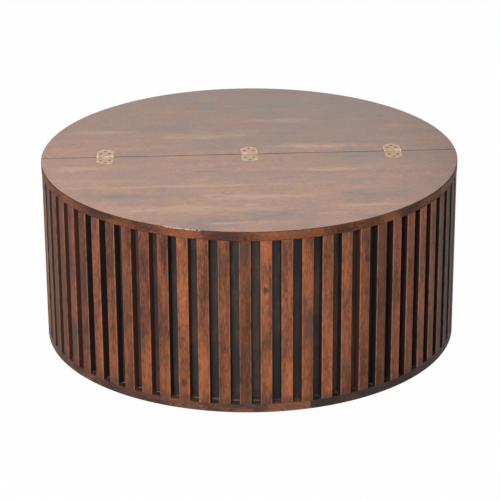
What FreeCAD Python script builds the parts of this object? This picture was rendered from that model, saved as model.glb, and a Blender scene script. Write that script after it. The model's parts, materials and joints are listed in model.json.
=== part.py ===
import FreeCAD, Part

import math
import os

from FreeCAD import Vector

# A round storage table in solid wood, shaped like a drum. Its top is split across the middle: the rear
# half is fixed to the drum, and the front half swings up and over on three brass hinges. Upright slats
# stand all round on a base ring, against a bent plywood wall that closes the storage space inside.
#
# Lengths are in millimetres and angles in degrees. The drum's axis is Z and the floor is at zero. The
# seam between the two halves of the top runs along X, and the half that opens is on the -Y side. Angles
# round the drum are counted from -Y, the front, towards +X.

# The whole table
table_diameter = 900.0
table_height = 400.0

# The top: glued-up boards, 20 mm thick, that run along the seam
top_thickness = 20.0
top_overhang = 1.0
top_arris = 1.2
boards_in_half = 3
outer_board_width = 106.0
seam_gap = 1.5
seat_gap = 0.3

# Slats round the drum
slat_count = 66
slat_width = 24.0
slat_depth = 17.0
slat_arris = 1.2
slat_phase_angle = 1.35
slats_in_node = 6

# Bent plywood wall behind the slats
wall_thickness = 12.0
wall_panel_count = 4
wall_joint_angle = 45.0

# Rings that the wall and the slats are fixed to, each built of curved segments butted end to end
ring_segment_count = 6
ring_joint_angle = 13.1
base_ring_height = 18.0
base_ring_width = 59.0
top_ring_height = 18.0
top_ring_width = 35.0

# Rail under the seam, lapped under the top ring at both ends
rail_width = 60.0
rail_depth = 40.0

# Floor of the storage space and the battens under it
floor_thickness = 12.0
floor_clearance = 0.5
batten_count = 2
batten_spacing = 300.0
batten_width = 45.0
batten_thickness = 14.0
batten_end_clearance = 2.0

# Cleats that keep the opening half flat
cleat_spacing = 360.0
cleat_width = 40.0
cleat_thickness = 20.0
cleat_rail_clearance = 15.0
cleat_ring_clearance = 10.0

# Hinges, let into the top
hinge_count = 3
hinge_rim_distance = 138.0
hinge_width = 36.0
leaf_length = 44.0
leaf_side_length = 33.0
leaf_thickness = 2.0
leaf_proud = 0.3
leaf_pocket_clearance = 0.3
knuckle_diameter = 6.0
knuckle_end_length = 8.5
knuckle_gap = 0.3
knuckle_channel_clearance = 0.5
hinge_axis_height = 1.0
pin_diameter = 2.8
pin_clearance = 0.05
pin_proud = 0.4

# How far a cut runs past what it cuts
overrun = 5.0

# Sizes that follow from the ones above
table_radius = table_diameter / 2
inner_board_width = (table_radius - outer_board_width) / (boards_in_half - 1)
slat_outer_radius = table_radius - top_overhang
wall_outer_radius = slat_outer_radius - slat_depth
wall_inner_radius = wall_outer_radius - wall_thickness
base_ring_inner_radius = slat_outer_radius - base_ring_width
top_ring_inner_radius = wall_inner_radius - top_ring_width
drum_top = table_height - top_thickness
opening_half_bottom = drum_top + seat_gap
top_ring_bottom = drum_top - top_ring_height
rail_bottom = drum_top - rail_depth
cleat_bottom = opening_half_bottom - cleat_thickness
knuckle_radius = knuckle_diameter / 2
hinge_axis_z = table_height + hinge_axis_height
leaf_top = table_height + leaf_proud
leaf_bottom = leaf_top - leaf_thickness

origin = Vector(0, 0, 0)
up = Vector(0, 0, 1)
along_seam = Vector(1, 0, 0)
nodes = {}


def turned(shape, angle):
    """A copy of the shape, turned about the drum's axis."""
    copy = shape.copy()
    copy.rotate(origin, up, angle)
    return copy


def disc(radius, bottom, top):
    return Part.makeCylinder(radius, top - bottom, Vector(0, 0, bottom))


def box(x_low, x_high, y_low, y_high, z_low, z_high):
    return Part.makeBox(x_high - x_low, y_high - y_low, z_high - z_low, Vector(x_low, y_low, z_low))


def arc_block(inner_radius, outer_radius, bottom, top, start_angle, sweep):
    """A block bent round the drum's axis, from start_angle to start_angle + sweep."""
    height = top - bottom
    foot = Vector(0, 0, bottom)
    outer = Part.makeCylinder(outer_radius, height, foot, up, sweep)
    inner = Part.makeCylinder(inner_radius, height, foot, up, sweep)
    return turned(outer.cut(inner), start_angle - 90)


def ring_of_segments(name, inner_radius, outer_radius, bottom, top):
    sweep = 360 / ring_segment_count
    for number in range(ring_segment_count):
        start = ring_joint_angle + number * sweep
        nodes[f"{name}_segment_{number + 1}"] = arc_block(
            inner_radius, outer_radius, bottom, top, start, sweep)


def moved(shape, place):
    copy = shape.copy()
    copy.translate(place)
    return copy


def hinge_places():
    """X of each hinge's middle, along the seam."""
    last = table_radius - hinge_rim_distance
    return [-last + number * 2 * last / (hinge_count - 1) for number in range(hinge_count)]


def leaf_outline(side, grow):
    """One leaf's outline, a strap with an arched end. side is 1 for the fixed half and -1 for the other."""
    half_width = hinge_width / 2 + grow
    shoulder = side * leaf_side_length
    end = side * (leaf_length + grow)
    left_foot = Vector(-half_width, 0, 0)
    left_shoulder = Vector(-half_width, shoulder, 0)
    crown = Vector(0, end, 0)
    right_shoulder = Vector(half_width, shoulder, 0)
    right_foot = Vector(half_width, 0, 0)
    return Part.Face(Part.Wire([
        Part.LineSegment(left_foot, left_shoulder).toShape(),
        Part.Arc(left_shoulder, crown, right_shoulder).toShape(),
        Part.LineSegment(right_shoulder, right_foot).toShape(),
        Part.LineSegment(right_foot, left_foot).toShape(),
    ]))


def along_axis(radius, x_low, x_high):
    """A round bar on the hinge axis."""
    return Part.makeCylinder(radius, x_high - x_low, Vector(x_low, 0, hinge_axis_z), along_seam)


def knuckle_spans(side):
    """Where each leaf's own knuckles lie along the axis: two at the ends for the fixed leaf, one between."""
    half_width = hinge_width / 2
    end_inner = half_width - knuckle_end_length
    middle = end_inner - knuckle_gap
    if side > 0:
        return [(-half_width, -end_inner), (end_inner, half_width)]
    return [(-middle, middle)]


def hinge_leaf(side):
    """A leaf with its knuckles, bored for the pin and notched for the other leaf's knuckles."""
    leaf = leaf_outline(side, 0).extrude(Vector(0, 0, leaf_thickness))
    leaf.translate(Vector(0, 0, leaf_bottom))
    notch_depth = knuckle_radius + knuckle_gap
    for low, high in knuckle_spans(-side):
        leaf = leaf.cut(box(low - knuckle_gap, high + knuckle_gap, -notch_depth, notch_depth,
                            leaf_bottom - overrun, leaf_top + overrun))
    for low, high in knuckle_spans(side):
        leaf = leaf.fuse(along_axis(knuckle_radius, low, high))
    reach = hinge_width / 2 + overrun
    leaf = leaf.cut(along_axis(pin_diameter / 2 + pin_clearance, -reach, reach))
    return leaf.removeSplitter()


def hinge_pin():
    """The pin, which stands a little proud of the end knuckles, where its ends are peened."""
    reach = hinge_width / 2 + pin_proud
    return along_axis(pin_diameter / 2, -reach, reach)


def hinge_pocket(side):
    """What is cut from the top for one leaf and its knuckles."""
    pocket = leaf_outline(side, leaf_pocket_clearance).extrude(Vector(0, 0, leaf_thickness + overrun))
    pocket.translate(Vector(0, 0, leaf_bottom))
    reach = hinge_width / 2 + pin_proud + knuckle_channel_clearance
    depth = knuckle_radius + knuckle_channel_clearance
    channel = box(-reach, reach, -depth, depth, hinge_axis_z - depth, leaf_top + overrun)
    return pocket.fuse(channel)


def hinges():
    for number, x in enumerate(hinge_places(), start=1):
        middle = Vector(x, 0, 0)
        nodes[f"hinge_{number}_fixed_leaf"] = moved(hinge_leaf(1), middle)
        nodes[f"hinge_{number}_lid_leaf"] = moved(hinge_leaf(-1), middle)
        nodes[f"hinge_{number}_pin"] = moved(hinge_pin(), middle)


def top_disc(bottom):
    """The whole top's disc, with the arris taken off its rim above and below."""
    blank = disc(table_radius, bottom, table_height)
    rims = [edge for edge in blank.Edges if edge.Closed]
    return blank.makeChamfer(top_arris, rims)


def half_top(name, side, bottom):
    """Half of the top, as boards glued edge to edge, cut out for the hinges."""
    blank = top_disc(bottom)
    reach = table_radius + overrun
    cutters = [moved(hinge_pocket(side), Vector(x, 0, 0)) for x in hinge_places()]
    for number in range(boards_in_half):
        near = number * inner_board_width if number else seam_gap / 2
        last = number == boards_in_half - 1
        far = reach if last else (number + 1) * inner_board_width
        low, high = sorted((side * near, side * far))
        board = blank.common(box(-reach, reach, low, high, bottom - overrun, table_height + overrun))
        nodes[f"{name}_board_{number + 1}"] = board.cut(cutters)


def cleat_ends():
    """Y of the cleats' inner and outer ends. The outer one stays clear of the top ring as the lid lifts."""
    inner = -rail_width / 2 - cleat_rail_clearance
    side = cleat_spacing / 2 + cleat_width / 2
    limit = top_ring_inner_radius - cleat_ring_clearance
    outer = -math.sqrt(limit ** 2 - side ** 2)
    return inner, outer


def top():
    half_top("lid", -1, opening_half_bottom)
    half_top("fixed_top", 1, drum_top)
    inner, outer = cleat_ends()
    for side, name in ((-1, "lid_cleat_left"), (1, "lid_cleat_right")):
        middle = side * cleat_spacing / 2
        nodes[name] = box(middle - cleat_width / 2, middle + cleat_width / 2, outer, inner,
                          cleat_bottom, opening_half_bottom)


def slats():
    """Upright slats, flat and square, with their two outer arrises taken off, in nodes of six."""
    blank = box(-slat_width / 2, slat_width / 2, -slat_outer_radius, -wall_outer_radius,
                base_ring_height, drum_top)
    corners = [edge for edge in blank.Edges
               if all(vertex.Y < -wall_outer_radius - slat_depth / 2 for vertex in edge.Vertexes)
               and abs(edge.Vertexes[0].Z - edge.Vertexes[1].Z) > slat_width / 2]
    slat = blank.makeChamfer(slat_arris, corners)
    pitch = 360 / slat_count
    for group in range(math.ceil(slat_count / slats_in_node)):
        numbers = range(group * slats_in_node, min((group + 1) * slats_in_node, slat_count))
        nodes[f"slats_{group + 1:02d}"] = Part.makeCompound(
            [turned(slat, slat_phase_angle + number * pitch) for number in numbers])


def wall():
    sweep = 360 / wall_panel_count
    for number in range(wall_panel_count):
        start = wall_joint_angle + number * sweep
        nodes[f"wall_panel_{number + 1}"] = arc_block(
            wall_inner_radius, wall_outer_radius, base_ring_height, drum_top, start, sweep)


def rings():
    ring_of_segments("base_ring", base_ring_inner_radius, slat_outer_radius, 0, base_ring_height)
    ring_of_segments("top_ring", top_ring_inner_radius, wall_inner_radius, top_ring_bottom, drum_top)


def seam_rail():
    """The rail under the seam. Its middle fits inside the top ring, and its ends pass under the ring."""
    reach = table_radius + overrun
    upper = box(-reach, reach, -rail_width / 2, rail_width / 2, top_ring_bottom, drum_top)
    lower = box(-reach, reach, -rail_width / 2, rail_width / 2, rail_bottom, top_ring_bottom)
    upper = upper.common(disc(top_ring_inner_radius, rail_bottom, drum_top))
    lower = lower.common(disc(wall_inner_radius, rail_bottom, drum_top))
    nodes["seam_rail"] = upper.fuse(lower).removeSplitter()


def storage_floor():
    nodes["floor_panel"] = disc(wall_inner_radius - floor_clearance, base_ring_height,
                                base_ring_height + floor_thickness)
    limit = base_ring_inner_radius - batten_end_clearance
    first = -batten_spacing * (batten_count - 1) / 2
    for number in range(batten_count):
        middle = first + number * batten_spacing
        half_length = math.sqrt(limit ** 2 - (abs(middle) + batten_width / 2) ** 2)
        nodes[f"floor_batten_{number + 1}"] = box(
            middle - batten_width / 2, middle + batten_width / 2, -half_length, half_length,
            base_ring_height - batten_thickness, base_ring_height)


rings()
wall()
slats()
storage_floor()
seam_rail()
top()
hinges()

os.makedirs("parts", exist_ok=True)
for name, shape in nodes.items():
    if not shape.isValid():
        raise ValueError(f"{name} is not a valid shape")
    shape.exportStep(f"parts/{name}.step")
    extent = shape.BoundBox
    print(f"{name}: {len(shape.Solids)} solids, {shape.Volume:.0f} mm3, "
          f"{extent.XLength:.1f} x {extent.YLength:.1f} x {extent.ZLength:.1f} mm")
print(f"{len(nodes)} nodes")
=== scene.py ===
import json
import math
import random

import bmesh
import bpy
from mathutils import Matrix, Vector


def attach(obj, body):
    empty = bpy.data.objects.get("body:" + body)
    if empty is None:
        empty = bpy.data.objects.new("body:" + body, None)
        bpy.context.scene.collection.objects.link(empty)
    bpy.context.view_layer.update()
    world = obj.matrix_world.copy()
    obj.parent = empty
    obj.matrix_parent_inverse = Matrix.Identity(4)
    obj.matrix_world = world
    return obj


# A slatted drum table in chestnut-stained hardwood, with brass hinges across its split top. Lengths are
# in metres. X runs along the seam, and the half of the top that opens is on the -Y side. Angles round
# the drum are counted from -Y, the front, towards +X, and slats and gaps are numbered that way too.

MM = 0.001

# Sizes of the table, as it is built
TABLE_RADIUS = 450 * MM
TABLE_HEIGHT = 400 * MM
BOARD_WIDTH = 172 * MM
SLAT_COUNT = 66
SLAT_PITCH = math.radians(360 / SLAT_COUNT)
SLAT_PHASE = math.radians(1.35)
SLAT_WIDTH = 24 * MM
SLAT_FACE_RADIUS = 449 * MM
WALL_RADIUS = 432 * MM
BASE_RING_HEIGHT = 18 * MM
RING_SEGMENTS = 6
RING_JOINT = math.radians(13.1)
HINGE_SPACING = 312 * MM
LEAF_TOP = TABLE_HEIGHT + 0.3 * MM
LEAF_HALF_WIDTH = 18 * MM
LEAF_LENGTH = 44 * MM
LEAF_ARCH = 11 * MM
CLEAT_MIDDLE = 180 * MM
CLEAT_BOTTOM = 360.3 * MM

# Screws: where they stand, in a leaf as place along the seam and distance from it, and along a cleat,
# and their heads, as radius, width of the slot and depth of the slot. A head rises by a share of its
# radius and tapers to a share of it.
LEAF_SCREWS = ((-9.2 * MM, 21 * MM), (9.2 * MM, 21 * MM), (0, 34.5 * MM))
LEAF_SCREW_BASE = LEAF_TOP - 0.1 * MM
LEAF_SCREW_HEAD = (3.2 * MM, 0.9 * MM, 0.45 * MM)
CLEAT_SCREWS = (-80 * MM, -180 * MM, -285 * MM)
CLEAT_SCREW_BASE = CLEAT_BOTTOM + 0.2 * MM
CLEAT_SCREW_HEAD = (4.2 * MM, 1.2 * MM, 0.7 * MM)
HEAD_SIDES = 28
HEAD_RISE = 0.12
HEAD_TAPER = 0.93
LEVEL = 1e-7

# The cove of lacquer in the foot of a gap: its profile, as reach and height, and its stations. Each
# station has a side, -1 or 1 along a slat or 0 along the wall, a distance from the wall or from the
# gap's middle, and a size. At distance 0 of a slat it turns the corner. Each cove's own size lies
# between the two shares of COVE_SWELL.
COVE_PROFILE = ((0, 0), (4.2 * MM, 0), (3.2 * MM, 0.4 * MM), (2.1 * MM, 1.1 * MM), (1.2 * MM, 2.2 * MM),
                (0.4 * MM, 3.9 * MM), (0, 6.0 * MM))
COVE_STATIONS = ((-1, 13 * MM, 0.10), (-1, 10 * MM, 0.35), (-1, 6.5 * MM, 0.60), (-1, 0, 0.95),
                 (0, -3 * MM, 1.00), (0, 0, 1.05), (0, 3 * MM, 1.00),
                 (1, 0, 0.95), (1, 6.5 * MM, 0.60), (1, 10 * MM, 0.35), (1, 13 * MM, 0.10))
COVE_SWELL = (0.75, 1.15)

# The camera, fitted to the outline of the photographed table
CAMERA_PLACE = Vector((-0.2266, -4.5745, 2.0780))
CAMERA_PITCH = math.radians(22.568)
CAMERA_YAW = math.radians(2.842)
CAMERA_ROLL = math.radians(-0.325)
CAMERA_LENS = 161.78
CAMERA_SENSOR = 36

# The studio: lamps as name, power, side and place, the world's light on things, though it is seen as
# white, and how much of the floor's look is plain white
LAMPS = (("front lamp", 138, 2.5, (-1.6, -4.2, 2.7)), ("back lamp", 21, 3.0, (-0.4, 3.8, 2.4)))
LAMP_TARGET = Vector((0, 0, 0.2))
WORLD_LIGHT = 0.44
FLOOR_GLOW = 0.98
FLOOR_HALF_SIZE = 30
FLOOR_GREY = (0.86, 0.86, 0.86, 1)

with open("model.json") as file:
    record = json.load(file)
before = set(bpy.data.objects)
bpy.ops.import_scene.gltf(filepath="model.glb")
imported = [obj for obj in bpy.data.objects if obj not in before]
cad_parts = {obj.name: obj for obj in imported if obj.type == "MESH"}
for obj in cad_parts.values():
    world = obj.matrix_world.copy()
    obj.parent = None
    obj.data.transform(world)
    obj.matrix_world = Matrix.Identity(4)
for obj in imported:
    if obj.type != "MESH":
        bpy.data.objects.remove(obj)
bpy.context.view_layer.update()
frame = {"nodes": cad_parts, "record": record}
nodes = frame["nodes"]
chance = random.Random(7)


def stain(red, green, blue):
    """A colour as it is seen, 0 to 255 for each part, in the linear values that Blender takes."""
    parts = []
    for part in (red, green, blue):
        share = part / 255
        parts.append(share / 12.92 if share <= 0.04045 else ((share + 0.055) / 1.055) ** 2.4)
    return (*parts, 1.0)


# Stains of the woods, each from dark to light
TOP_STAINS = (stain(124, 90, 73), stain(158, 114, 91), stain(192, 138, 106))
RIM_STAINS = (stain(68, 40, 29), stain(113, 63, 40), stain(160, 92, 57))
SLAT_STAINS = (stain(86, 48, 31), stain(134, 76, 46), stain(173, 99, 61))
FRAME_STAINS = (stain(58, 40, 35), stain(86, 57, 46), stain(134, 86, 63))
INSIDE_STAINS = (stain(78, 50, 38), stain(124, 82, 60), stain(164, 112, 82))
WALL_STAINS = (stain(38, 35, 35), stain(52, 45, 44), stain(82, 60, 52))
BARE_WOOD = stain(226, 200, 180)

# Numbers that give each kind of wood a figure of its own
TOP_BOARDS_FROM = 9.0
RIM_BOARD = 21.0
STRAIGHT_BOARDS_FROM = 7.0
PLY_BOARD = 5.0

# How the top's colour drifts across it, as factors of red, green and blue: partly stain, partly painted
# light and shade
WARM_TINT = (1.34, 1.18, 1.05, 1)
COOL_TINT = (0.87, 0.94, 0.97, 1)
# Painted shade, darker towards the rear
REAR_SHADE_TINT = (0.76, 0.63, 0.43, 1)
GOLDEN_TINT = (1.09, 1.10, 0.93, 1)
PLUM_TINT = (0.93, 0.92, 1.02, 1)

# Between which radii the top's face turns into its rim, and the rubbed line just inside it at the rear
RIM_EDGE = (448.6 * MM, 449.2 * MM)
REAR_ARRIS = (445.5 * MM, 447.5 * MM)

# Slats that stand out from their neighbours: change of brightness, and the slats that have it
SLAT_TONES = (
    (0.18, (-9, -8, -4, -3, 1, 3, 8, 22, 31)),
    (0.15, (1, 3)),
    (-0.12, (-21, -11, -2, 2, 5, 15, 19, 27)),
    (-0.28, (-27, -19, -14, -12, -7, 10, 17, 29)),
    (-0.50, (-13, -1, 6, 11, 12, 13)),
    (-0.12, (-14, 12, 13)),
)
# Slats whose sides get a dark brown painted shade instead of an almost black one
BROWN_SIDED_SLATS = (-31, -25, -24, -20, -17, -14, -13, -12, -11, -7, -6, -4, -3,
                     2, 5, 18, 21, 22, 27, 30)
SMOKY_SLATS = (-22, -16, -14, -13, -12, -11, -1, 2, 8, 10, 11, 12, 13, 14, 25, 33)

# Knots: slat, height, place across the slat, size and darkness
KNOTS = (
    (0, 0.272, -0.001, 0.006, 0.8), (0, 0.246, 0.004, 0.006, 0.4), (0, 0.320, 0.003, 0.010, 0.3),
    (0, 0.150, 0.002, 0.010, 0.45), (-4, 0.060, -0.003, 0.006, 0.5), (5, 0.310, 0.004, 0.006, 0.6),
    (-7, 0.180, 0.003, 0.007, 0.5), (20, 0.240, 0.002, 0.006, 0.7), (-25, 0.130, -0.003, 0.007, 0.7),
)

# Segments of the base ring whose stain came out almost black, numbered from the seen joint
BLACK_SEGMENTS = (0, -3)

# Marks in the stain of the rim, as angle and half width in degrees, and the stretch with a worn arris
DARK_RIM_MARKS = ((-47, 5), (-10, 6), (22, 3), (30, 4), (46, 6), (44, 5), (57, 4), (118, 20), (-140, 14))
BRIGHT_RIM_MARKS = ((-20, 4), (8, 11), (-60, 4), (-37, 3), (36, 2), (170, 16), (-105, 12))
WORN_EDGE_MIDDLE = -21.0

# Angle, in degrees, round which the painted pale glint along the lacquer in the gaps is strongest
GLINT_MIDDLE = -46.0

# Marks in the figure of the top: place of the middle, half length and half width. The pale ones whose
# middle lies further back than FAINT_FROM are fainter.
PALE_STREAKS = (
    (-0.140, -0.186, 0.330, 0.008),
    (-0.140, -0.315, 0.240, 0.030),
    (0.000, -0.255, 0.160, 0.024),
    (0.145, 0.042, 0.140, 0.020),
    (0.175, -0.105, 0.090, 0.014),
    (-0.100, 0.120, 0.120, 0.026),
    (-0.330, 0.160, 0.080, 0.014),
    (0.080, 0.215, 0.080, 0.016),
    (-0.370, -0.070, 0.090, 0.018),
    (0.230, -0.315, 0.100, 0.010),
    (-0.060, -0.400, 0.080, 0.008),
)
SMOKY_STREAKS = (
    (-0.112, -0.398, 0.090, 0.034),
    (0.015, -0.364, 0.140, 0.044),
    (0.075, -0.148, 0.045, 0.010),
    (-0.090, -0.102, 0.070, 0.008),
    (0.230, -0.260, 0.070, 0.036),
    (-0.280, -0.238, 0.110, 0.024),
    (0.260, -0.010, 0.130, 0.030),
    (0.080, 0.320, 0.080, 0.060),
    (-0.080, 0.310, 0.030, 0.040),
    (0.260, 0.300, 0.120, 0.060),
    (-0.100, 0.395, 0.160, 0.014),
    (-0.150, -0.425, 0.100, 0.018),
    (0.235, -0.378, 0.070, 0.020),
)
FAINT_FROM = 100 * MM


class Mixer:
    """Places nodes in one tree. An input is a number, a colour, a vector or another node's output."""

    def __init__(self, tree):
        self.tree = tree

    def node(self, kind, inputs=None, **settings):
        made = self.tree.nodes.new("ShaderNode" + kind)
        for name, value in settings.items():
            setattr(made, name, value)
        for name, value in (inputs or {}).items():
            self.feed(made.inputs[name], value)
        return made

    def feed(self, socket, value):
        if isinstance(value, bpy.types.NodeSocket):
            self.tree.links.new(value, socket)
        else:
            socket.default_value = value

    def math(self, operation, *values):
        return self.node("Math", dict(enumerate(values)), operation=operation).outputs[0]

    def add(self, first, second):
        return self.math("ADD", first, second)

    def subtract(self, first, second):
        return self.math("SUBTRACT", first, second)

    def times(self, first, second):
        return self.math("MULTIPLY", first, second)

    def divide(self, first, second):
        return self.math("DIVIDE", first, second)

    def absolute(self, value):
        return self.math("ABSOLUTE", value)

    def length(self, first, second):
        """The long side of a right angle with those two short sides."""
        return self.math("SQRT", self.add(self.times(first, first), self.times(second, second)))

    def split(self, vector):
        return self.node("SeparateXYZ", {0: vector}).outputs

    def join(self, x, y, z):
        return self.node("CombineXYZ", {"X": x, "Y": y, "Z": z}).outputs[0]

    def noise(self, vector, scale, detail=2.0, roughness=0.5, seed=0.0, distortion=0.0):
        made = self.node("TexNoise", {"Vector": vector, "Scale": scale, "Detail": detail,
                                      "Roughness": roughness, "W": seed, "Distortion": distortion},
                         noise_dimensions="4D")
        return made.outputs["Fac"]

    def sway(self, noise, size):
        """A noise from 0 to 1 as a shift to either side, at most half of size."""
        return self.times(self.subtract(noise, 0.5), size)

    def fade(self, value, low, high, to_low=0.0, to_high=1.0):
        """Runs smoothly from to_low to to_high as value goes from low to high."""
        made = self.node("MapRange", {"Value": value, "From Min": low, "From Max": high,
                                      "To Min": to_low, "To Max": to_high},
                         interpolation_type="SMOOTHSTEP")
        return made.outputs[0]

    def blend(self, share, under, over, mode="MIX"):
        made = self.node("Mix", {0: share, 6: under, 7: over}, data_type="RGBA", blend_type=mode)
        return made.outputs[2]

    def tint(self, colour, factors):
        """The colour with each part times its factor."""
        return self.blend(1.0, colour, factors, "MULTIPLY")

    def drawn(self, seed):
        """A number from 0 to 1, the same for the same seed."""
        return self.node("TexWhiteNoise", {"W": seed}, noise_dimensions="1D").outputs["Value"]

    def is_one_of(self, value, numbers):
        """1 where value is one of the whole numbers, and 0 elsewhere."""
        found = 0.0
        for number in numbers:
            found = self.add(self.math("COMPARE", value, float(number), 0.4), found)
        return found


def new_group(name, inputs, outputs):
    """A node group, its mixer, its inputs by name and its output node."""
    group = bpy.data.node_groups.new(name, "ShaderNodeTree")
    for label, kind in inputs:
        group.interface.new_socket(label, in_out="INPUT", socket_type=kind)
    for label, kind in outputs:
        group.interface.new_socket(label, in_out="OUTPUT", socket_type=kind)
    mixer = Mixer(group)
    entry = group.nodes.new("NodeGroupInput").outputs
    leave = group.nodes.new("NodeGroupOutput").inputs
    return group, mixer, entry, leave


def build_timber_group():
    """Stained hardwood whose grain runs along the first axis of Place."""
    group, mix, entry, leave = new_group(
        "Stained timber",
        [("Place", "NodeSocketVector"), ("Board", "NodeSocketFloat"), ("Dark", "NodeSocketColor"),
         ("Middle", "NodeSocketColor"), ("Light", "NodeSocketColor"), ("Figure", "NodeSocketFloat"),
         ("Mottle", "NodeSocketFloat"), ("Lines", "NodeSocketFloat")],
        [("Color", "NodeSocketColor"), ("Roughness", "NodeSocketFloat"), ("Height", "NodeSocketFloat")])
    along, across, depth = mix.split(entry["Place"])
    seed = mix.times(entry["Board"], 3.7)

    def stretched(squeeze):
        return mix.join(mix.times(along, squeeze), across, depth)

    # Broad figure, cloudy uptake of the stain, fine mottle, grain lines and open pores
    broad = mix.noise(stretched(0.12), 30, 3, 0.55, seed, distortion=0.5)
    cloud = mix.noise(stretched(0.45), 34, 3, 0.6, mix.add(seed, 11.0))
    mottle = mix.noise(stretched(0.35), 400, 3, 0.65, mix.add(seed, 5.0))
    lines = mix.noise(stretched(0.03), 620, 3, 0.6, seed)
    pores = mix.noise(stretched(0.07), 1500, 1, 0.4, seed)

    # The tone picks between the three stains, and lines and pores lie over it
    figure = mix.subtract(mix.add(mix.fade(broad, 0.3, 0.7), mix.fade(cloud, 0.32, 0.68)), 1.0)
    tone = mix.add(mix.times(figure, entry["Figure"]), mix.sway(mottle, entry["Mottle"]))
    tone = mix.add(tone, 0.5)
    colour = mix.blend(mix.fade(tone, 0.1, 0.52), entry["Dark"], entry["Middle"])
    colour = mix.blend(mix.fade(tone, 0.48, 0.92), colour, entry["Light"])
    streak = mix.times(mix.fade(lines, 0.5, 0.78), entry["Lines"])
    colour = mix.blend(streak, colour, entry["Dark"])
    pore = mix.fade(pores, 0.62, 0.72)
    deep = mix.tint(entry["Dark"], (0.5, 0.5, 0.5, 1))
    colour = mix.blend(mix.times(pore, entry["Lines"]), colour, deep)

    mix.feed(leave["Color"], colour)
    mix.feed(leave["Roughness"], mix.add(mix.times(cloud, 0.16), mix.times(pore, 0.1)))
    mix.feed(leave["Height"], mix.subtract(mix.times(lines, 0.3), pore))
    return group


def build_round_place_group():
    """Where a point lies round the drum: its angle, its radius, its slat and its place across that."""
    group, mix, entry, leave = new_group(
        "Place round the drum",
        [("Place", "NodeSocketVector")],
        [("Angle", "NodeSocketFloat"), ("Radius", "NodeSocketFloat"), ("Slat", "NodeSocketFloat"),
         ("Across slat", "NodeSocketFloat")])
    x, y = mix.split(entry["Place"])[:2]
    angle = mix.math("ARCTAN2", x, mix.times(y, -1.0))
    radius = mix.length(x, y)
    turns = mix.divide(mix.subtract(angle, SLAT_PHASE), SLAT_PITCH)
    slat = mix.math("ROUND", turns)
    mix.feed(leave["Angle"], angle)
    mix.feed(leave["Radius"], radius)
    mix.feed(leave["Slat"], slat)
    mix.feed(leave["Across slat"], mix.times(mix.times(mix.subtract(turns, slat), SLAT_PITCH), radius))
    return group


def build_patch_group():
    """Soft smoky patches in the stain, longer along the first axis of Place."""
    group, mix, entry, leave = new_group(
        "Smoky patches",
        [("Place", "NodeSocketVector"), ("Seed", "NodeSocketFloat"), ("Stretch", "NodeSocketFloat"),
         ("Scale", "NodeSocketFloat")],
        [("Mask", "NodeSocketFloat")])
    along, across, depth = mix.split(entry["Place"])
    place = mix.join(mix.times(along, entry["Stretch"]), across, depth)
    wide = mix.noise(place, entry["Scale"], 3, 0.55, entry["Seed"], distortion=0.4)
    mix.feed(leave["Mask"], mix.fade(wide, 0.5, 0.72))
    return group


def build_hinge_outline_group():
    """How far a point of the top lies outside the outline of the nearest hinge."""
    group, mix, entry, leave = new_group(
        "Hinge outline", [("Place", "NodeSocketVector")], [("Off", "NodeSocketFloat")])
    x, y = mix.split(entry["Place"])[:2]
    hinge = mix.math("ROUND", mix.divide(x, HINGE_SPACING))
    aside = mix.absolute(mix.subtract(x, mix.times(hinge, HINGE_SPACING)))
    share = mix.divide(aside, LEAF_HALF_WIDTH)
    reach = mix.subtract(LEAF_LENGTH, mix.times(mix.times(share, share), LEAF_ARCH))
    beyond = mix.subtract(mix.absolute(y), reach)
    mix.feed(leave["Off"], mix.math("MAXIMUM", mix.subtract(aside, LEAF_HALF_WIDTH), beyond))
    return group


TIMBER = build_timber_group()
HINGE_OUTLINE = build_hinge_outline_group()
ROUND_PLACE = build_round_place_group()
PATCHES = build_patch_group()


def new_material(name, **constants):
    """A material with one Principled shader, its constants set, and its mixer."""
    material = bpy.data.materials.new(name)
    material.use_nodes = True
    mixer = Mixer(material.node_tree)
    shader = material.node_tree.nodes["Principled BSDF"]
    for label, value in constants.items():
        shader.inputs[label.replace("_", " ")].default_value = value
    return material, mixer, shader


def use_group(mix, group, inputs):
    made = mix.node("Group", node_tree=group)
    for name, value in inputs.items():
        mix.feed(made.inputs[name], value)
    return made.outputs


def object_place(mix):
    return mix.node("TexCoord").outputs["Object"]


def round_place(mix, place):
    return use_group(mix, ROUND_PLACE, {"Place": place})


def off_hinges(mix, place):
    return use_group(mix, HINGE_OUTLINE, {"Place": place})["Off"]


def stained_timber(mix, place, board, stains, figure, mottle, lines):
    """The timber group in a material, in its own stains and strengths."""
    dark, middle, light = stains
    return use_group(mix, TIMBER, {
        "Place": place, "Board": board, "Dark": dark, "Middle": middle, "Light": light,
        "Figure": figure, "Mottle": mottle, "Lines": lines})


def finish_wood(mix, shader, wood, colour, dullness, relief):
    """Feeds a wood's colour, gloss and grain relief to its shader."""
    mix.feed(shader.inputs["Base Color"], colour)
    mix.feed(shader.inputs["Roughness"], mix.add(wood["Roughness"], dullness))
    bump = mix.node("Bump", {"Strength": 0.5, "Distance": relief, "Height": wood["Height"]})
    mix.feed(shader.inputs["Normal"], bump.outputs["Normal"])


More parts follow.
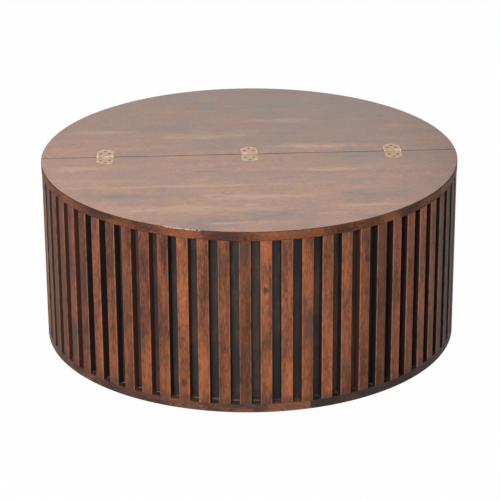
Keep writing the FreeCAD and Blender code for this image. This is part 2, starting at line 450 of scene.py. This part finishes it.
def stain_and_lamp_drift(mix, place, colour):
    """The top's stain, with painted light warm at the front left and cooler at the right, and painted
    shade at the rear.
    """
    x, y, z = mix.split(place)
    field = mix.noise(mix.join(mix.times(x, 0.7), y, z), 8, 5, 0.65, seed=3.0)
    # Painted light: warm towards the front left, where the lamp falls, and cooler towards the right
    drift = mix.add(mix.times(x, 0.45), mix.times(y, 0.55))
    coolness = mix.fade(mix.add(drift, mix.sway(field, 1.5)), -0.4, 0.45)
    colour = mix.blend(coolness, mix.tint(colour, WARM_TINT), mix.tint(colour, COOL_TINT))
    # Painted shade: the top darker towards the rear
    rear_shade = mix.fade(y, -0.28, 0.38)
    colour = mix.blend(rear_shade, colour, mix.tint(colour, REAR_SHADE_TINT))
    hue = mix.noise(mix.join(mix.times(x, 0.8), y, z), 24, 5, 0.65, seed=12.0)
    return mix.tint(colour, mix.blend(mix.fade(hue, 0.36, 0.64), GOLDEN_TINT, PLUM_TINT))


def streak_mask(mix, place, middle_x, middle_y, half_length, half_width):
    """A long soft mark along the grain, frayed at its edge."""
    x, y, z = mix.split(place)
    along = mix.divide(mix.subtract(x, middle_x), half_length)
    across = mix.divide(mix.subtract(y, middle_y), half_width)
    fray = mix.noise(mix.join(mix.times(x, 0.35), y, z), 60, 5, 0.7, seed=middle_x)
    return mix.fade(mix.add(mix.length(along, across), mix.sway(fray, 3.0)), 1.15, -0.1)


def grain_streaks(mix, place, colour):
    """Smoky and pale marks along the top's grain."""
    for mark in SMOKY_STREAKS:
        share = mix.times(streak_mask(mix, place, *mark), 0.7)
        colour = mix.blend(share, colour, stain(110, 97, 91))
    for mark in PALE_STREAKS:
        strength = 0.5 if mark[1] > FAINT_FROM else 0.8
        share = mix.times(streak_mask(mix, place, *mark), strength)
        colour = mix.blend(share, colour, stain(206, 156, 116))
    return colour


def soiled_seam(mix, place, colour):
    """Dirt along both edges of the seam, and a little way down into it."""
    x, y, z = mix.split(place)
    seam = mix.times(mix.fade(mix.absolute(y), 4.6 * MM, 0.6 * MM),
                     mix.fade(z, TABLE_HEIGHT - 8 * MM, TABLE_HEIGHT - 3 * MM))
    soiled = mix.noise(mix.join(mix.times(x, 0.5), y, z), 26, 3, 0.6, seed=7.0)
    strength = mix.add(mix.times(mix.fade(soiled, 0.38, 0.6), 0.4), 0.55)
    return mix.blend(mix.times(seam, strength), colour, stain(56, 42, 38))


def scraped_recesses(mix, place, colour):
    """Reddish bare wood round the hinges, where their recesses were cut."""
    z = mix.split(place)["Z"]
    scraped = mix.fade(mix.noise(place, 120, 2, 0.5, seed=5.0), 0.36, 0.52)
    on_face = mix.fade(z, TABLE_HEIGHT - 1.2 * MM, TABLE_HEIGHT - 0.6 * MM)
    near = mix.fade(off_hinges(mix, place), 4.5 * MM, 1.5 * MM)
    recess = mix.times(mix.times(near, scraped), on_face)
    return mix.blend(mix.times(recess, 0.75), colour, stain(184, 88, 50))


def worn_edge(mix, around):
    """Nicks in the top's arris, down to pale wood, close together on one stretch of it."""
    along = mix.join(mix.times(around["Angle"], TABLE_RADIUS), 0.0, 0.0)
    nicks = mix.noise(along, 150, 3, 0.7, seed=4.0)
    off = mix.absolute(mix.subtract(mix.math("DEGREES", around["Angle"]), WORN_EDGE_MIDDLE))
    return mix.fade(mix.add(nicks, mix.fade(off, 7.5, 3.5, 0.0, 0.2)), 0.62, 0.72)


def rim_wood(mix, z, around, worn):
    """The rim of the top, stained redder and darker than its face, its arris nicked."""
    local = mix.join(mix.times(around["Angle"], TABLE_RADIUS), z, around["Radius"])
    colour = stained_timber(mix, local, RIM_BOARD, RIM_STAINS,
                            figure=0.4, mottle=2.2, lines=0.3)["Color"]
    degrees = mix.math("DEGREES", around["Angle"])
    fray = mix.sway(mix.noise(local, 70, 3, 0.6, seed=6.0), 12.0)
    for marks, strength, over in ((DARK_RIM_MARKS, 0.55, stain(60, 37, 29)),
                                  (BRIGHT_RIM_MARKS, 0.3, stain(160, 92, 58))):
        for middle, half_width in marks:
            off = mix.add(mix.absolute(mix.subtract(degrees, middle)), fray)
            share = mix.fade(off, half_width + 1.0, half_width * 0.4, 0.0, strength)
            colour = mix.blend(share, colour, over)
    arris = mix.fade(z, TABLE_HEIGHT - 2.0 * MM, TABLE_HEIGHT - 1.2 * MM)
    edge = mix.blend(worn, stain(78, 50, 38), BARE_WOOD)
    return mix.blend(mix.times(arris, 0.85), colour, edge)


def top_wood():
    """The top's boards: chestnut under a semi-gloss lacquer, with a darker rim."""
    material, mix, shader = new_material("Chestnut top", Coat_Roughness=0.25, Specular_IOR_Level=0.25)
    place = object_place(mix)
    x, y, z = mix.split(place)
    board = mix.add(mix.math("FLOOR", mix.divide(y, BOARD_WIDTH)), TOP_BOARDS_FROM)
    local = mix.join(mix.times(x, 0.7), y, z)
    wood = stained_timber(mix, local, board, TOP_STAINS, figure=0.15, mottle=1.5, lines=0.3)
    colour = wood["Color"]
    for add_layer in (stain_and_lamp_drift, grain_streaks, soiled_seam, scraped_recesses):
        colour = add_layer(mix, place, colour)

    around = round_place(mix, place)
    radius = around["Radius"]
    worn = worn_edge(mix, around)
    at_edge = mix.fade(radius, TABLE_RADIUS - 3.0 * MM, TABLE_RADIUS - 1.6 * MM)
    colour = mix.blend(mix.times(mix.times(at_edge, worn), 0.8), colour, BARE_WOOD)
    rear_arris = mix.times(mix.fade(radius, *REAR_ARRIS), mix.fade(y, 0.0, 0.15))
    colour = mix.blend(mix.times(rear_arris, 0.6), colour, stain(196, 110, 68))
    on_rim = mix.fade(radius, *RIM_EDGE)
    colour = mix.blend(on_rim, colour, rim_wood(mix, z, around, worn))
    mix.feed(shader.inputs["Coat Weight"], mix.fade(radius, *RIM_EDGE, 0.45, 0.0))
    dullness = mix.add(mix.times(on_rim, 0.18), 0.26)
    finish_wood(mix, shader, wood, colour, dullness=dullness, relief=0.12 * MM)
    return material


def smoky_slats(mix, around, z, colour):
    """Smoky patches down the slats, more on some, and painted shade darkening their feet above the base
    ring.
    """
    slat = around["Slat"]
    local = mix.join(z, around["Across slat"], around["Radius"])
    patches = use_group(mix, PATCHES, {"Place": local, "Seed": slat, "Stretch": 0.4, "Scale": 18.0})
    strength = mix.add(mix.times(mix.is_one_of(slat, SMOKY_SLATS), 0.35), 0.5)
    colour = mix.blend(mix.times(patches["Mask"], strength), colour, stain(74, 56, 50))
    # Painted shade: the slats darker towards their feet, above the base ring, by a share that differs
    # from slat to slat
    cloudy = mix.sway(mix.noise(local, 45, 3, 0.6, seed=8.0), 40 * MM)
    foot = mix.fade(mix.add(z, cloudy), BASE_RING_HEIGHT + 24 * MM, BASE_RING_HEIGHT + 3 * MM)
    foot_shade = mix.times(foot, mix.add(mix.times(mix.drawn(mix.add(slat, 0.7)), 0.5), 0.3))
    return mix.blend(foot_shade, colour, stain(88, 58, 47))


def knotty_slats(mix, around, z, colour):
    """Small dark knots with a ragged edge."""
    across = around["Across slat"]
    local = mix.join(z, across, around["Radius"])
    ragged = mix.sway(mix.noise(local, 190, 3, 0.6, seed=2.0), 2.0)
    for number, height, middle, size, darkness in KNOTS:
        above = mix.divide(mix.subtract(z, height), size * 1.3)
        aside = mix.divide(mix.subtract(across, middle), size)
        shade = mix.fade(mix.add(mix.length(above, aside), ragged), 1.3, 0.5, 0.0, darkness)
        knot = mix.times(shade, mix.is_one_of(around["Slat"], (number,)))
        colour = mix.blend(knot, colour, stain(56, 38, 32))
    return colour


def slat_edges(mix, around, z, colour):
    """Painted highlights along the slats' arrises, broken up along their length, and painted shade on
    their sides: almost black, or dark brown on some slats.
    """
    slat, radius = around["Slat"], around["Radius"]
    off_middle = mix.absolute(around["Across slat"])
    highlight_breaks = mix.noise(mix.join(mix.times(z, 0.3), slat, off_middle), 160, 2)
    # Painted highlight: a pale line along both arrises of each slat's face, broken by noise
    edge_highlight = mix.times(mix.fade(off_middle, SLAT_WIDTH * 0.41, SLAT_WIDTH * 0.46),
                       mix.fade(highlight_breaks, 0.3, 0.55))
    at_face = mix.fade(radius, SLAT_FACE_RADIUS - 0.9 * MM, SLAT_FACE_RADIUS - 0.3 * MM)
    colour = mix.blend(mix.times(mix.times(edge_highlight, at_face), 0.6), colour, stain(188, 130, 94))
    # Painted shade: the slats' sides, down in the gaps, made almost black, or dark brown on the listed
    # slats
    inside = mix.fade(radius, SLAT_FACE_RADIUS - 0.5 * MM, SLAT_FACE_RADIUS - 2.2 * MM)
    side = mix.blend(mix.is_one_of(slat, BROWN_SIDED_SLATS), stain(32, 30, 31), stain(74, 46, 39))
    return mix.blend(mix.times(inside, 0.96), colour, side)


def slat_wood():
    """The slats: each from its own piece and in its own tone, with painted shade on their sides."""
    material, mix, shader = new_material("Chestnut slats", Specular_IOR_Level=0.33)
    place = object_place(mix)
    z = mix.split(place)["Z"]
    around = round_place(mix, place)
    slat = around["Slat"]
    local = mix.join(mix.times(z, 0.6), around["Across slat"], around["Radius"])
    wood = stained_timber(mix, local, slat, SLAT_STAINS, figure=0.45, mottle=1.8, lines=0.45)
    brightness = mix.fade(mix.drawn(mix.add(slat, 0.5)), 0.0, 1.0, 0.78, 1.04)
    for change, numbers in SLAT_TONES:
        brightness = mix.add(brightness, mix.times(mix.is_one_of(slat, numbers), change))
    colour = mix.tint(wood["Color"], mix.join(brightness, brightness, brightness))
    for add_layer in (smoky_slats, knotty_slats, slat_edges):
        colour = add_layer(mix, around, z, colour)
    specks = mix.fade(mix.noise(place, 700, 1, 0.4, seed=3.0), 0.76, 0.8)
    colour = mix.blend(mix.times(specks, 0.4), colour, stain(190, 170, 155))
    finish_wood(mix, shader, wood, colour, dullness=0.36, relief=0.15 * MM)
    return material


def ring_wood():
    """The rings: the same stain, laid on thicker, on segments with a straight grain each."""
    material, mix, shader = new_material("Dark chestnut ring", Specular_IOR_Level=0.32)
    place = object_place(mix)
    x, y, z = mix.split(place)
    angle = round_place(mix, place)["Angle"]
    sweep = 2 * math.pi / RING_SEGMENTS
    segment = mix.math("FLOOR", mix.divide(mix.subtract(angle, RING_JOINT), sweep))
    middle = mix.add(mix.times(mix.add(segment, 0.5), sweep), RING_JOINT)
    sine, cosine = mix.math("SINE", middle), mix.math("COSINE", middle)
    along = mix.add(mix.times(x, cosine), mix.times(y, sine))
    outward = mix.subtract(mix.times(x, sine), mix.times(y, cosine))
    wood = stained_timber(mix, mix.join(along, z, outward), segment, FRAME_STAINS,
                          figure=0.45, mottle=1.5, lines=0.4)
    black = mix.is_one_of(segment, BLACK_SEGMENTS)
    colour = mix.blend(mix.times(black, 0.72), wood["Color"], stain(46, 41, 40))

    # The paler end of the segment left of the seen joint, with a slanting grain
    to_joint = mix.times(mix.subtract(RING_JOINT, angle), TABLE_RADIUS)
    end_grain = mix.times(mix.fade(to_joint, 95 * MM, 60 * MM), mix.fade(to_joint, -0.5 * MM, 0.5 * MM))
    slanting = mix.join(mix.add(along, z), mix.times(mix.subtract(along, z), 0.12), 0.0)
    slant = mix.fade(mix.noise(slanting, 420, 3, 0.6), 0.38, 0.62)
    hatched = mix.blend(slant, stain(112, 70, 50), stain(156, 100, 72))
    colour = mix.blend(mix.times(end_grain, 0.75), colour, hatched)
    finish_wood(mix, shader, wood, colour, dullness=0.36, relief=0.15 * MM)
    return material


def straight_wood(name, grain):
    """The rail, battens and cleats, stained as the rings are, with the grain along x or y."""
    material, mix, shader = new_material(name, Specular_IOR_Level=0.32)
    place = object_place(mix)
    x, y, z = mix.split(place)
    side, local = (x, mix.join(y, x, z)) if grain == "y" else (y, place)
    piece = mix.add(mix.math("SIGN", side), STRAIGHT_BOARDS_FROM)
    wood = stained_timber(mix, local, piece, FRAME_STAINS, figure=0.45, mottle=1.5, lines=0.4)
    finish_wood(mix, shader, wood, wood["Color"], dullness=0.36, relief=0.15 * MM)
    return material


def wall_ply(name, flat):
    """The bent wall, or the flat floor panel: plywood stained almost black outside and brown inside."""
    material, mix, shader = new_material(name, Specular_IOR_Level=0.4)
    place = object_place(mix)
    z = mix.split(place)["Z"]
    around = round_place(mix, place)
    angle, radius = around["Angle"], around["Radius"]
    outside = mix.fade(radius, WALL_RADIUS - 2 * MM, WALL_RADIUS - 1 * MM)
    local = place if flat else mix.join(z, mix.times(angle, WALL_RADIUS), radius)
    stains = [mix.blend(outside, inner, outer) for inner, outer in zip(INSIDE_STAINS, WALL_STAINS)]
    wood = stained_timber(mix, local, PLY_BOARD, stains, figure=0.5, mottle=0.8, lines=0.4)
    gap = mix.math("FLOOR", mix.divide(mix.subtract(angle, SLAT_PHASE), SLAT_PITCH))
    run = mix.noise(mix.join(mix.times(z, 0.5), gap, 0.0), 16, 3, 0.6, seed=3.0)
    browned = mix.times(mix.fade(mix.drawn(mix.add(gap, 0.3)), 0.2, 0.9), mix.fade(run, 0.35, 0.6))
    browned = mix.times(mix.times(browned, outside), 0.5)
    colour = mix.blend(browned, wood["Color"], stain(92, 62, 50))
    finish_wood(mix, shader, wood, colour, dullness=0.45, relief=0.1 * MM)
    return material


def hinge_brass():
    """The hinges: pale brass, brushed along the seam and gone dull, with painted near-white glints along
    the leaf edges and by the knuckle.
    """
    material, mix, shader = new_material("Aged brass")
    place = object_place(mix)
    x, y, z = mix.split(place)
    off_axis = mix.absolute(y)
    brushed = mix.noise(mix.join(mix.times(x, 0.05), y, z), 2600, 2, 0.6)
    tarnish = mix.fade(mix.noise(place, 240, 3, 0.6, seed=1.0), 0.42, 0.7)
    colour = mix.blend(mix.times(tarnish, 0.6), stain(216, 188, 160), stain(192, 152, 124))
    # Painted highlight: near-white glints along the edges of the leaves and near the knuckle, broken by
    # noise, also a little glossier
    edge_highlight = mix.fade(off_hinges(mix, place), -3.0 * MM, -1.0 * MM)
    knuckle_glint = mix.times(mix.fade(off_axis, 12 * MM, 6 * MM), 0.4)
    glint_breaks = mix.fade(mix.noise(place, 110, 2, 0.5, seed=4.0), 0.52, 0.6)
    painted_glint = mix.times(mix.math("MAXIMUM", edge_highlight, knuckle_glint), glint_breaks)
    mix.feed(shader.inputs["Base Color"], mix.blend(painted_glint, colour, stain(246, 240, 232)))

    on_knuckle = mix.fade(off_axis, 5 * MM, 3.6 * MM)
    bare = mix.subtract(mix.fade(tarnish, 0.0, 1.0, 0.75, 0.5), mix.times(on_knuckle, 0.35))
    mix.feed(shader.inputs["Metallic"], bare)
    dull = mix.add(mix.times(tarnish, 0.12), mix.fade(brushed, 0.3, 0.7, 0.44, 0.54))
    dull = mix.add(dull, mix.times(on_knuckle, 0.25))
    mix.feed(shader.inputs["Roughness"], mix.subtract(dull, mix.times(painted_glint, 0.15)))
    bump = mix.node("Bump", {"Strength": 0.3, "Distance": 0.05 * MM, "Height": brushed})
    mix.feed(shader.inputs["Normal"], bump.outputs["Normal"])
    return material


def screw_bronze():
    """The screws, browned unevenly by age."""
    material, mix, shader = new_material("Browned screws", Metallic=0.35)
    dull = mix.noise(object_place(mix), 500, 3, 0.6, seed=2.0)
    colour = mix.blend(mix.fade(dull, 0.35, 0.65), stain(128, 50, 28), stain(164, 84, 56))
    mix.feed(shader.inputs["Base Color"], colour)
    mix.feed(shader.inputs["Roughness"], mix.fade(dull, 0.3, 0.7, 0.35, 0.6))
    return material


def pooled_lacquer():
    """Lacquer that has run down and set in the foot of each gap, with a painted pale glint line along
    it.
    """
    material, mix, shader = new_material("Pooled lacquer", Specular_IOR_Level=0.3)
    place = object_place(mix)
    z = mix.split(place)["Z"]
    runs = mix.noise(place, 130, 2)
    colour = mix.blend(mix.fade(runs, 0.4, 0.6), stain(42, 34, 31), stain(72, 56, 49))
    # Painted highlight: a pale line low on the cove, broken by noise, strongest on the gaps at the front
    # left
    rise = mix.subtract(z, BASE_RING_HEIGHT)
    glint_band = mix.times(mix.fade(rise, 0.7 * MM, 1.1 * MM), mix.fade(rise, 1.9 * MM, 1.4 * MM))
    broken = mix.fade(mix.noise(place, 110, 3, 0.6, seed=5.0), 0.42, 0.5)
    degrees = mix.math("DEGREES", round_place(mix, place)["Angle"])
    glint_strength = mix.fade(mix.absolute(mix.subtract(degrees, GLINT_MIDDLE)), 14.0, 30.0, 0.9, 0.3)
    colour = mix.blend(mix.times(mix.times(glint_band, broken), glint_strength), colour, stain(168, 154, 146))
    mix.feed(shader.inputs["Base Color"], colour)
    mix.feed(shader.inputs["Roughness"], mix.fade(runs, 0.3, 0.7, 0.3, 0.5))
    return material


def keep_mesh(shape, name, material):
    """Makes a bmesh into a finished object at the origin."""
    bmesh.ops.recalc_face_normals(shape, faces=shape.faces)
    mesh = bpy.data.meshes.new(name)
    shape.to_mesh(mesh)
    shape.free()
    mesh.materials.append(material)
    piece = bpy.data.objects.new(name, mesh)
    bpy.context.collection.objects.link(piece)
    return piece


def parts_of(made, kind):
    """The parts of that kind, such as BMVert, in what a bmesh operator made."""
    return [item for item in made if isinstance(item, kind)]


def each_once(items):
    """The items in their order, without repeats."""
    return list(dict.fromkeys(items))


def add_screw(shape, place, turn, head, facing_down=False):
    """Adds a countersunk head, flush with its surface, with one slot across it."""
    radius, slot_width, slot_depth = head
    rim = bmesh.ops.create_circle(shape, cap_ends=True, radius=radius, segments=HEAD_SIDES)
    verts = rim["verts"]
    faces = each_once(face for vert in verts for face in vert.link_faces)
    walls = bmesh.ops.extrude_face_region(shape, geom=faces)
    lifted = parts_of(walls["geom"], bmesh.types.BMVert)
    bmesh.ops.translate(shape, verts=lifted, vec=(0, 0, radius * HEAD_RISE))
    bmesh.ops.scale(shape, verts=lifted, vec=(HEAD_TAPER, HEAD_TAPER, 1))
    made = each_once([*verts, *lifted])

    # Two cuts along the slot, and the strip of the top between them sunk
    for side in (-1, 1):
        geometry = each_once(part for vert in made
                             for part in (vert, *vert.link_edges, *vert.link_faces))
        cut = bmesh.ops.bisect_plane(shape, geom=geometry, plane_co=(0, side * slot_width / 2, 0),
                                     plane_no=(0, 1, 0))
        made = each_once([*made, *parts_of(cut["geom_cut"], bmesh.types.BMVert)])
    top = max(vert.co.z for vert in made)
    strip = [face for face in each_once(face for vert in made for face in vert.link_faces)
             if all(top - vert.co.z < LEVEL and abs(vert.co.y) < slot_width / 2 + LEVEL
                    for vert in face.verts)]
    sunk = bmesh.ops.extrude_face_region(shape, geom=strip)
    bmesh.ops.delete(shape, geom=strip, context="FACES_ONLY")
    floor = parts_of(sunk["geom"], bmesh.types.BMVert)
    bmesh.ops.translate(shape, verts=floor, vec=(0, 0, -slot_depth))
    made = each_once([*made, *floor])

    bmesh.ops.rotate(shape, verts=made, cent=(0, 0, 0), matrix=Matrix.Rotation(turn, 3, "Z"))
    if facing_down:
        bmesh.ops.rotate(shape, verts=made, cent=(0, 0, 0), matrix=Matrix.Rotation(math.pi, 3, "X"))
    bmesh.ops.translate(shape, verts=made, vec=place)


def hinge_screws(material):
    """Three screws in each leaf, the lid's on the lid."""
    for side, body, name in ((1, "drum", "fixed_half_hinge_screws"), (-1, "lid", "lid_hinge_screws")):
        shape = bmesh.new()
        for hinge in (-1, 0, 1):
            for across, distance in LEAF_SCREWS:
                place = Vector((hinge * HINGE_SPACING + across, side * distance, LEAF_SCREW_BASE))
                add_screw(shape, place, chance.uniform(0, math.pi), LEAF_SCREW_HEAD)
        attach(keep_mesh(shape, name, material), body)


def cleat_screws(material):
    """The screws that hold the cleats, seen from below when the lid is open."""
    shape = bmesh.new()
    for side in (-1, 1):
        for y in CLEAT_SCREWS:
            place = Vector((side * CLEAT_MIDDLE, y, CLEAT_SCREW_BASE))
            add_screw(shape, place, chance.uniform(0, math.pi), CLEAT_SCREW_HEAD, facing_down=True)
    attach(keep_mesh(shape, "cleat_screws", material), "lid")


def extruded_sections(shape, profile, count):
    """A closed bar with that many sections of one profile, still at one place, as their vertices."""
    rings = [[shape.verts.new(point) for point in profile]]
    section = [shape.faces.new(rings[0])]
    for number in range(1, count):
        run = bmesh.ops.extrude_face_region(shape, geom=section)
        if number > 1:
            bmesh.ops.delete(shape, geom=section, context="FACES_ONLY")
        section = parts_of(run["geom"], bmesh.types.BMFace)
        rings.append(parts_of(run["geom"], bmesh.types.BMVert))
    return rings


def lacquer_fillets(material):
    """A small cove of lacquer round the foot of each gap: along one slat, the wall and the next slat."""
    shape = bmesh.new()
    half_gap = (SLAT_PITCH * WALL_RADIUS - SLAT_WIDTH) / 2
    spread = math.tan(SLAT_PITCH / 2)
    profile = [(0, reach, height) for reach, height in COVE_PROFILE]
    for number in range(SLAT_COUNT):
        angle = SLAT_PHASE + (number + 0.5) * SLAT_PITCH
        swell = chance.uniform(*COVE_SWELL)
        rings = extruded_sections(shape, profile, len(COVE_STATIONS))
        for verts, (side, distance, share) in zip(rings, COVE_STATIONS):
            size = swell * share
            if side == 0:
                across, outward = (0, 0, 0, distance), (0, -size, 0, -WALL_RADIUS)
            elif distance == 0:
                across = (0, -side * size * (1 - spread), 0, side * half_gap)
                outward = (0, -size, 0, -WALL_RADIUS)
            else:
                across = (0, -side * size, 0, side * (half_gap + spread * distance))
                outward = (0, 0, 0, -WALL_RADIUS - distance)
            place = Matrix((across, outward, (0, 0, size, BASE_RING_HEIGHT), (0, 0, 0, 1)))
            bmesh.ops.transform(shape, matrix=place, verts=verts)
            bmesh.ops.rotate(shape, verts=verts, cent=(0, 0, 0), matrix=Matrix.Rotation(angle, 3, "Z"))
    piece = keep_mesh(shape, "gap_lacquer", material)
    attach(piece, "drum")


def dress_nodes():
    """Gives every modelled node its finish, by its own name or else by its material slot."""
    rail_wood = straight_wood("Dark chestnut rail", "x")
    cleat_wood = straight_wood("Dark chestnut cleat", "y")
    finishes = {
        "top_wood": top_wood(),
        "slat_wood": slat_wood(),
        "hinge_brass": hinge_brass(),
        "frame_wood": ring_wood(),
        "wall_ply": wall_ply("Black-stained wall", flat=False),
        "floor_panel": wall_ply("Brown-stained panel", flat=True),
        "seam_rail": rail_wood,
        "floor_batten_1": rail_wood,
        "floor_batten_2": rail_wood,
        "lid_cleat_left": cleat_wood,
        "lid_cleat_right": cleat_wood,
    }
    for part in frame["record"]["subparts"]:
        mesh = nodes[part["node"]].data
        mesh.materials.clear()
        mesh.materials.append(finishes.get(part["node"]) or finishes[part["material_slot"]])


def place_camera():
    forward = Vector((math.sin(CAMERA_YAW) * math.cos(CAMERA_PITCH),
                      math.cos(CAMERA_YAW) * math.cos(CAMERA_PITCH), -math.sin(CAMERA_PITCH)))
    level = Vector((math.cos(CAMERA_YAW), -math.sin(CAMERA_YAW), 0))
    over = level.cross(forward)
    right = math.cos(CAMERA_ROLL) * level + math.sin(CAMERA_ROLL) * over
    upward = math.cos(CAMERA_ROLL) * over - math.sin(CAMERA_ROLL) * level
    camera = bpy.data.cameras.new("camera")
    camera.lens = CAMERA_LENS
    camera.sensor_width = CAMERA_SENSOR
    holder = bpy.data.objects.new("camera", camera)
    axes = Matrix((right, upward, -forward)).transposed()
    holder.matrix_world = Matrix.Translation(CAMERA_PLACE) @ axes.to_4x4()
    bpy.context.collection.objects.link(holder)
    bpy.context.scene.camera = holder


def seen_directly(mix):
    """1 for what the camera sees, also through something clear, and 0 for light that falls on things."""
    path = mix.node("LightPath").outputs
    return mix.math("MAXIMUM", path["Is Camera Ray"], path["Is Transmission Ray"])


def lay_floor():
    """A pale floor that keeps a faint shadow."""
    shape = bmesh.new()
    bmesh.ops.create_grid(shape, x_segments=1, y_segments=1, size=FLOOR_HALF_SIZE)
    material, mix, shader = new_material("Pale floor", Base_Color=FLOOR_GREY, Roughness=0.9)
    glow = mix.node("Emission", {"Color": (1, 1, 1, 1), "Strength": 1.0})
    share = mix.times(seen_directly(mix), FLOOR_GLOW)
    both = mix.node("MixShader", {0: share, 1: shader.outputs[0], 2: glow.outputs[0]})
    mix.feed(material.node_tree.nodes["Material Output"].inputs["Surface"], both.outputs[0])
    floor = keep_mesh(shape, "floor", material)


def light_studio():
    """White all round, a large soft lamp at the front left and a weaker one behind."""
    world = bpy.data.worlds.new("studio")
    bpy.context.scene.world = world
    world.use_nodes = True
    mix = Mixer(world.node_tree)
    background = world.node_tree.nodes["Background"]
    mix.feed(background.inputs["Color"], (1, 1, 1, 1))
    strength = mix.add(mix.times(seen_directly(mix), 1 - WORLD_LIGHT), WORLD_LIGHT)
    mix.feed(background.inputs["Strength"], strength)
    for name, power, side, place in LAMPS:
        lamp = bpy.data.lights.new(name, "AREA")
        lamp.energy = power
        lamp.size = side
        holder = bpy.data.objects.new(name, lamp)
        holder.location = place
        holder.rotation_euler = (LAMP_TARGET - holder.location).to_track_quat("-Z", "Y").to_euler()
        holder.visible_camera = False
        bpy.context.collection.objects.link(holder)


dress_nodes()
screws = screw_bronze()
hinge_screws(screws)
cleat_screws(screws)
lacquer_fillets(pooled_lacquer())
place_camera()
lay_floor()
light_studio()
bpy.context.scene.view_settings.view_transform = "Standard"
